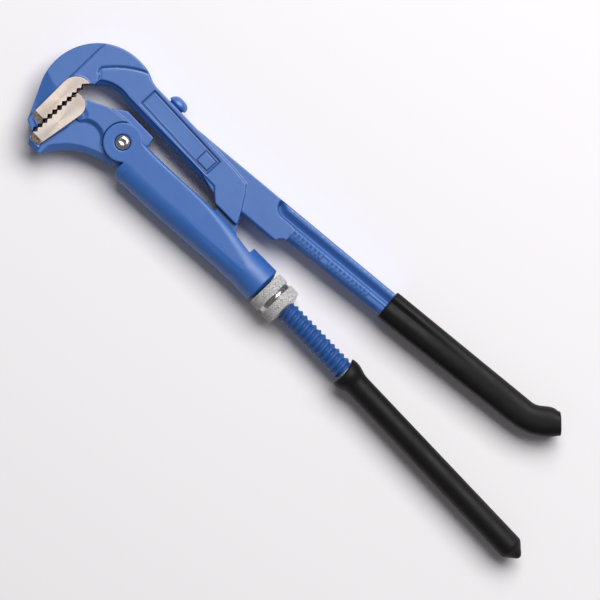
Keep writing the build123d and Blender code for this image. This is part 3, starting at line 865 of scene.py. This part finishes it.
def thread_radius(x, angle):
    """A rolled right-hand thread with broad round crests, which fades in from the plain stem."""
    phase = (x / THREAD_PITCH - angle / (2 * math.pi)) % 1.0
    crest = 0.5 - 0.5 * math.cos(2 * math.pi * phase)
    fade = min(max((x - THREAD_START) / THREAD_PITCH, 0.0), 1.0)
    height = crest * fade + (1 - fade) * RUN_OUT_LEVEL
    return THREAD_ROOT + (THREAD_CREST - THREAD_ROOT) * height


def spindle():
    """The lower leg: stem, helical thread and the fork inside the sleeve."""
    angles = [2 * math.pi * step / THREAD_STEPS for step in range(THREAD_STEPS)]
    rings = []
    for x, radius in (STEM_FRONT, STEM_SHOULDER):
        rings.append([around_x(x, radius, angle) for angle in angles])
    x = THREAD_START - THREAD_PITCH
    while x < THREAD_END:
        rings.append([around_x(x, thread_radius(x, angle), angle) for angle in angles])
        x += THREAD_PITCH / RINGS_PER_TURN
    piece = tube("spindle_thread", rings)
    finish_piece(piece, "lower_leg", "blue_paint", THREAD_SHADED_PAINT)
    fork = forging("spindle_fork", "spindle_leg", 0.35, 3, keep_faces=90000)
    keep_front(fork, FORK_END)
    finish_piece(fork, "lower_leg", "blue_paint", PAINT)
    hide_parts("spindle_leg")


# Adjusting nut -----------------------------------------------------------------------------------

NUT_START = 97.3
NUT_END = 112.2
NUT_BORE = 5.6
NUT_RADIUS = 10.0
NUT_STEPS = 460
KNURL_STARTS = 46
KNURL_STEP = 1.45
KNURL_DEPTH = 0.2
BAND_RINGS = 44
REAR_CHAMFER = 1.4
NUT_GROOVE_X = (NUT_START + NUT_END - REAR_CHAMFER) / 2
NUT_GROOVE_RADIUS = 9.12
NUT_GROOVE_HALF = 1.3
KNURL_GAP = 1.35
FACE_RADIUS = 9.3


def knurl(x, angle):
    """Height of the crossed knurl, from 0 in its grooves to 1 on its points."""
    turn = KNURL_STARTS * angle / (2 * math.pi)
    first = abs(((turn + x / KNURL_STEP) % 1.0) - 0.5) * 2
    second = abs(((turn - x / KNURL_STEP) % 1.0) - 0.5) * 2
    return min(1 - first ** 3, 1 - second ** 3)


def knurled_band(start, end):
    return [(start + (end - start) * step / BAND_RINGS, NUT_RADIUS, 1) for step in range(BAND_RINGS + 1)]


def nut_groove():
    """The turned groove between the two bands of knurl, alike on both sides of its middle."""
    half = [(1.2, 9.85, 0.2), (1.05, 9.45, 0), (0.8, 9.2, 0)]
    before = [(NUT_GROOVE_X - out, radius, share) for out, radius, share in half]
    after = [(NUT_GROOVE_X + out, radius, share) for out, radius, share in reversed(half)]
    return before + [(NUT_GROOVE_X, NUT_GROOVE_RADIUS, 0)] + after


def nut_profile():
    """X, radius and share of knurl down the outside of the nut."""
    front = [(0.0, NUT_BORE, 0), (0.0, FACE_RADIUS, 0), (0.15, 9.6, 0), (0.5, 9.9, 0.4)]
    rear = [(1.7, 9.9, 0.4), (REAR_CHAMFER, 9.55, 0), (0.1, 6.7, 0), (0.0, 6.2, 0), (0.0, NUT_BORE, 0)]
    profile = [(NUT_START + deep, radius, share) for deep, radius, share in front]
    profile += knurled_band(NUT_START + 0.7, NUT_GROOVE_X - KNURL_GAP)
    profile += nut_groove()
    profile += knurled_band(NUT_GROOVE_X + KNURL_GAP, NUT_END - 1.9)
    profile += [(NUT_END - deep, radius, share) for deep, radius, share in rear]
    return profile


def nut():
    """The nut, whose materials are the knurl and the smoothly turned groove and faces."""
    rings = []
    for x, radius, share in nut_profile():
        ring = []
        for step in range(NUT_STEPS):
            angle = 2 * math.pi * step / NUT_STEPS
            dent = share * KNURL_DEPTH * (1 - knurl(x, angle))
            ring.append(around_x(x, radius - dent, angle))
        rings.append(ring)
    piece = tube("knurled_nut", rings)
    hollow(piece, rings)
    finish_piece(piece, "adjusting_nut", "zinc_plate", ZINC, ZINC_GROOVE)
    for face in piece.data.polygons:
        centre = local(face.center)
        reach = math.hypot(centre.y - SPINDLE_Y, centre.z)
        turned = abs(centre.x - NUT_GROOVE_X) < NUT_GROOVE_HALF or reach < FACE_RADIUS
        face.material_index = 1 if turned else 0
    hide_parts("adjusting_nut")


# Rivets ------------------------------------------------------------------------------------------

WOBBLE_SCALE = 0.9

# The jaw rivet.
SHANK_RADIUS = 3.3
RECESS_RADIUS = 4.04
DOME_RADIUS = 3.58

# The spring rivet: the widest place of its head, and how much the head leans above that.
SPRING_RIVET_X = 5.1
HEAD_Y = 31.5
HEAD_RADIUS = 5.0
HEAD_LEAN = 0.16


def lathe(name, profile, place, steps, wobble=0.0):
    """A turned piece: profile is (height, radius) pairs and place(height, radius, angle) puts them.

    The wobble, in millimetres, is how far hammering has pushed its surface along its axis.
    """
    rings = []
    for height, radius in profile:
        ring = []
        for step in range(steps):
            angle = 2 * math.pi * step / steps
            point = place(height, radius, angle)
            if wobble:
                push = noise.noise(local(point) * WOBBLE_SCALE) * wobble
                point = place(height + push, radius, angle)
            ring.append(point)
        rings.append(ring)
    return tube(name, rings)


def jaw_rivet():
    """The polished rivet: a plain shank, and on each side a peened dome in a dark ring."""
    half = [(0.0, SHANK_RADIUS), (7.86, SHANK_RADIUS), (7.86, RECESS_RADIUS), (7.98, RECESS_RADIUS)]
    half += [(8.0, 3.62), (8.3, 3.56)]
    half += bezier((8.3, 3.56), (9.2, 3.4), (9.72, 2.3), (9.62, 1.5), 12)
    half += bezier((9.62, 1.5), (9.54, 0.9), (9.34, 0.5), (9.3, 0.05), 6)
    profile = [(-z, r) for z, r in reversed(half[1:])] + half

    def place(height, radius, angle):
        return at(radius * math.cos(angle), radius * math.sin(angle), height)

    piece = lathe("jaw_rivet_polished", profile, place, steps=72, wobble=0.09)
    finish_piece(piece, "sleeve", "polished_steel", POLISHED, BLUED)
    for face in piece.data.polygons:
        centre = local(face.center)
        face.material_index = 1 if math.hypot(centre.x, centre.y) > DOME_RADIUS else 0
    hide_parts("jaw_rivet")


def spring_rivet():
    """The painted rivet that holds the leaf spring: hammered over to one side."""
    profile = [(18.7, 0.05), (18.7, 2.5), (19.6, 2.4), (19.7, 2.0), (29.4, 2.0)]
    profile += [(29.5, 4.0), (30.9, 4.0), (31.1, 4.8), (HEAD_Y, 4.95)]
    profile += bezier((HEAD_Y, 4.95), (33.4, 4.9), (34.6, 3.4), (34.85, 1.6), 12)
    profile += [(34.9, 0.8), (34.9, 0.05)]

    def place(height, radius, angle):
        lean = HEAD_LEAN * max(height - HEAD_Y, 0.0)
        x = SPRING_RIVET_X + radius * math.cos(angle) + lean * radius / HEAD_RADIUS
        return at(x, height, radius * math.sin(angle))

    piece = lathe("spring_rivet_painted", profile, place, steps=64, wobble=0.08)
    finish_piece(piece, "fixed_leg", "blue_paint", PAINT)
    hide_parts("spring_rivet")


# Grips -------------------------------------------------------------------------------------------

GRIP_RING_STEPS = 72

# The fixed grip: the outer and inner edge of its straight stretch, and its section.
OUTER_EDGE = ((143.4, 45.0), (226.0, 54.7))
INNER_EDGE = ((145.0, 29.6), (225.0, 40.3))
EDGE_SLOPE = 0.12
BODY_HALF = 6.45
BODY_TAPER = 0.15
BEND_HALF = 6.3
MOUTH_SQUARENESS = 3.2
SQUARENESS_LOSS = 0.5
BEND_SQUARENESS = 2.7
MOUTH_DIP = 1.1
FADE_RATE = 1.5
FADE_POWER = 1.2
DIP_PLACE = 0.24
DIP_WIDTH = 0.2
DIP_DEPTH = 1.2
DIP_SLOPE = 0.9
DIP_SLOPE_START = -0.3
STRAIGHT_RINGS = 40
BEND_RINGS = 18
END_RINGS = 8
END_LENGTH = 1.5
END_BLUNTNESS = 6
END_WAY = (0.78, 0.63)
LEAST_SHARE = 0.02

# The rolled lip: how far each ring lies in from the edge and back from the mouth, and its half height.
LIP_RINGS = ((1.6, 1.6, 4.6), (1.5, 0.05, 4.9), (1.0, -0.15, 5.5), (0.4, -0.1, 6.1), (0.08, 0.25, 6.4))


def flat_ring(outer, inner, half, squareness, dip):
    """One section of the fixed grip between its outer and inner edge, following the I-section."""
    ring = []
    middle = ((outer[0] + inner[0]) / 2, (outer[1] + inner[1]) / 2)
    reach = ((outer[0] - inner[0]) / 2, (outer[1] - inner[1]) / 2)
    for step in range(GRIP_RING_STEPS):
        angle = 2 * math.pi * step / GRIP_RING_STEPS
        across = signed_power(math.cos(angle), 2 / squareness)
        up = half * signed_power(math.sin(angle), 2 / squareness)
        groove = DIP_DEPTH * dip * math.exp(-(((across - DIP_PLACE) / DIP_WIDTH) ** 2))
        slope = dip * DIP_SLOPE * max(0.0, DIP_SLOPE_START - across)
        up -= math.copysign(min(groove + slope, abs(up)), up)
        ring.append(at(middle[0] + reach[0] * across, middle[1] + reach[1] * across, up))
    return ring


def grip_lip():
    """The rings of the rolled lip around the bar."""
    rings = []
    for inset, back, half in LIP_RINGS:
        push = (back, back * EDGE_SLOPE)
        outer = (OUTER_EDGE[0][0] + push[0], OUTER_EDGE[0][1] + push[1] - inset)
        inner = (INNER_EDGE[0][0] + push[0], INNER_EDGE[0][1] + push[1] + inset)
        rings.append(flat_ring(outer, inner, half, MOUTH_SQUARENESS, MOUTH_DIP))
    return rings


def grip_body():
    """The straight stretch, where the groove of the bar below fades out."""
    rings = []
    for step in range(1, STRAIGHT_RINGS + 1):
        share = step / STRAIGHT_RINGS
        outer = blend_points(*OUTER_EDGE, share)
        inner = blend_points(*INNER_EDGE, share)
        fade = max(0.0, 1 - share * FADE_RATE) ** FADE_POWER
        half = BODY_HALF - BODY_TAPER * share
        squareness = MOUTH_SQUARENESS - SQUARENESS_LOSS * share
        rings.append(flat_ring(outer, inner, half, squareness, MOUTH_DIP * fade))
    return rings


def grip_end(outer_end, inner_end):
    """The blunt end, which closes on the middle between the two edges."""
    rings = []
    middle = blend_points(outer_end, inner_end, 0.5)
    for step in range(1, END_RINGS + 1):
        share = step / END_RINGS
        shrink = max((1 - share ** END_BLUNTNESS) ** 0.5, LEAST_SHARE)
        push = END_LENGTH * share
        outer = blend_points(middle, outer_end, shrink)
        inner = blend_points(middle, inner_end, shrink)
        outer = (outer[0] + END_WAY[0] * push, outer[1] + END_WAY[1] * push)
        inner = (inner[0] + END_WAY[0] * push, inner[1] + END_WAY[1] * push)
        rings.append(flat_ring(outer, inner, BEND_HALF * shrink, BEND_SQUARENESS, 0.0))
    return rings


def fixed_grip():
    """Dipped grip of the fixed leg: rolled lip, a groove that fades out, and a bent blunt end."""
    outer_curve = bezier(OUTER_EDGE[1], (231.5, 55.6), (232.6, 60.8), (237.9, 60.8), BEND_RINGS)
    inner_curve = bezier(INNER_EDGE[1], (233.5, 41.4), (241.2, 44.6), (246.6, 52.6), BEND_RINGS)
    rings = grip_lip() + grip_body()
    for outer, inner in zip(outer_curve, inner_curve):
        rings.append(flat_ring(outer, inner, BEND_HALF, BEND_SQUARENESS, 0.0))
    rings += grip_end(outer_curve[-1], inner_curve[-1])
    piece = tube("fixed_grip_vinyl", rings)
    finish_piece(piece, "fixed_leg", "grip_vinyl", VINYL)
    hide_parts("fixed_grip")


# The lower grip: where it starts and ends, how far its end hangs down, and its flared mouth.
GRIP_START = 151.0
GRIP_END = 275.5
GRIP_LENGTH = GRIP_END - GRIP_START
GRIP_DROOP = -1.5
GRIP_OFFSET = (0.3, -0.1)
NECK_END = 14.0
NECK_RADIUS = 5.85
BODY_GROWTH = 0.3
BODY_RINGS = 34
CONE_LENGTH = 7.4
MOUTH_LENGTH = 9.0
MOUTH_WAVE = 1.4
MOUTH_SLANT = 0.95
MOUTH_FLARE = 0.07


def lower_grip_profile():
    """Lip, flared mouth, slim body and blunt cone, from the mouth along the handle."""
    length = GRIP_LENGTH
    profile = [(2.4, 4.6), (1.2, 5.2), (0.25, 5.9), (0.0, 6.4), (0.2, 6.85)]
    profile += bezier((0.2, 6.85), (1.6, 7.5), (4.6, 7.6), (7.4, 6.6), 10)
    profile += bezier((7.4, 6.6), (9.6, 5.9), (11.0, 5.8), (NECK_END, NECK_RADIUS), 8)
    for step in range(1, BODY_RINGS + 1):
        share = step / BODY_RINGS
        along = NECK_END + (length - NECK_END - CONE_LENGTH) * share
        profile.append((along, NECK_RADIUS + BODY_GROWTH * share))
    cone = (length - CONE_LENGTH, 6.15)
    tip = (length - 3.8, 4.2)
    profile += bezier(cone, (length - 5.6, 6.1), (length - 5.0, 5.2), tip, 8)
    profile += bezier(tip, (length - 2.0, 2.4), (length, 1.6), (length, 0.04), 10)
    return profile


def lower_grip():
    """Dipped grip of the lower leg: a flared mouth, a slim body and a blunt cone."""

    def place(along, radius, angle):
        mouth = max(0.0, 1 - along / MOUTH_LENGTH)
        slant = MOUTH_SLANT * (1 - math.cos(angle))
        x = GRIP_START + GRIP_OFFSET[0] + along + mouth * (MOUTH_WAVE * math.sin(angle) ** 2 + slant)
        y = SPINDLE_Y + GRIP_OFFSET[1] + GRIP_DROOP * along / GRIP_LENGTH
        radius *= 1 + MOUTH_FLARE * mouth * (1 - math.cos(angle))
        return at(x, y + radius * math.cos(angle), radius * math.sin(angle))

    piece = lathe("lower_grip_vinyl", lower_grip_profile(), place, steps=GRIP_RING_STEPS)
    finish_piece(piece, "lower_leg", "grip_vinyl", VINYL)
    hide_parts("lower_grip")


# Small steel that keeps its CAD shape ------------------------------------------------------------


def plain_steel():
    for node in ("leaf_spring", "pivot_pin"):
        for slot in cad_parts[node].material_slots:
            slot.material = BLUED


# Stage -------------------------------------------------------------------------------------------

# The camera looks straight down: the view's width, level, middle and turn in the row frame.
VIEW_WIDTH = 288.0
VIEW_LEVEL = 4.0
VIEW_CENTRE = (113.3, 8.6)
VIEW_TURN = 46.0
CAMERA_HEIGHT = 2000.0
SENSOR_WIDTH = 36.0
CLIP_END = 20.0

# The floor, which is 6 metres square.
FLOOR_HALF = 3.0
FLOOR_COLOUR = (0.90, 0.885, 0.905)

# The key light: the place it looks at, its compass angle from +X, its angle off the vertical, and
# its distance in millimetres, with its size in metres and its power in watts.
LIT_PLACE = (100.0, 10.0)
KEY_TURN = 102
KEY_LEAN = 35
KEY_DISTANCE = 2000
KEY_SIZE = (1.9, 1.3)
KEY_POWER = 51.5
KEY_COLOUR = (1.0, 0.985, 0.985)

WORLD_COLOUR = (1.0, 0.975, 0.985)
WORLD_STRENGTH = 0.14


def camera():
    data = bpy.data.cameras.new("camera")
    data.sensor_width = SENSOR_WIDTH
    data.lens = data.sensor_width * CAMERA_HEIGHT / VIEW_WIDTH
    data.clip_end = CLIP_END
    obj = link(bpy.data.objects.new("camera", data))
    obj.location = at(*VIEW_CENTRE, CAMERA_HEIGHT + VIEW_LEVEL)
    obj.rotation_euler = (0.0, 0.0, math.radians(VIEW_TURN))
    bpy.context.scene.camera = obj


def floor():
    material = bpy.data.materials.new("studio_sweep")
    material.use_nodes = True
    shader = material.node_tree.nodes["Principled BSDF"]
    shader.inputs["Base Color"].default_value = (*FLOOR_COLOUR, 1.0)
    shader.inputs["Roughness"].default_value = 0.9
    shader.inputs["Specular IOR Level"].default_value = 0.1
    half = FLOOR_HALF
    corners = [(-half, -half, 0), (half, -half, 0), (half, half, 0), (-half, half, 0)]
    plane = mesh_piece("studio_floor", [Vector(c) for c in corners], [(0, 1, 2, 3)], smooth=False)
    plane.data.materials.append(material)


def key_light():
    """One large softbox, high on the fixed leg's side of the tool."""
    turn, lean = math.radians(KEY_TURN), math.radians(KEY_LEAN)
    side = math.sin(lean) * KEY_DISTANCE
    x = LIT_PLACE[0] + side * math.cos(turn)
    y = LIT_PLACE[1] + side * math.sin(turn)
    place = at(x, y, math.cos(lean) * KEY_DISTANCE)
    data = bpy.data.lights.new("key", "AREA")
    data.shape = "RECTANGLE"
    data.size, data.size_y = KEY_SIZE
    data.energy = KEY_POWER
    data.color = KEY_COLOUR
    obj = link(bpy.data.objects.new("key", data))
    obj.location = place
    obj.rotation_euler = (at(*LIT_PLACE) - place).to_track_quat("-Z", "Y").to_euler()


def world_light():
    world = bpy.data.worlds.new("studio")
    bpy.context.scene.world = world
    world.use_nodes = True
    background = world.node_tree.nodes["Background"]
    background.inputs["Color"].default_value = (*WORLD_COLOUR, 1.0)
    background.inputs["Strength"].default_value = WORLD_STRENGTH


fixed_leg()
moving_jaw()
sleeve()
spindle()
nut()
jaw_rivet()
spring_rivet()
fixed_grip()
lower_grip()
plain_steel()
floor()
key_light()
world_light()
camera()
bpy.context.scene.view_settings.view_transform = "Standard"
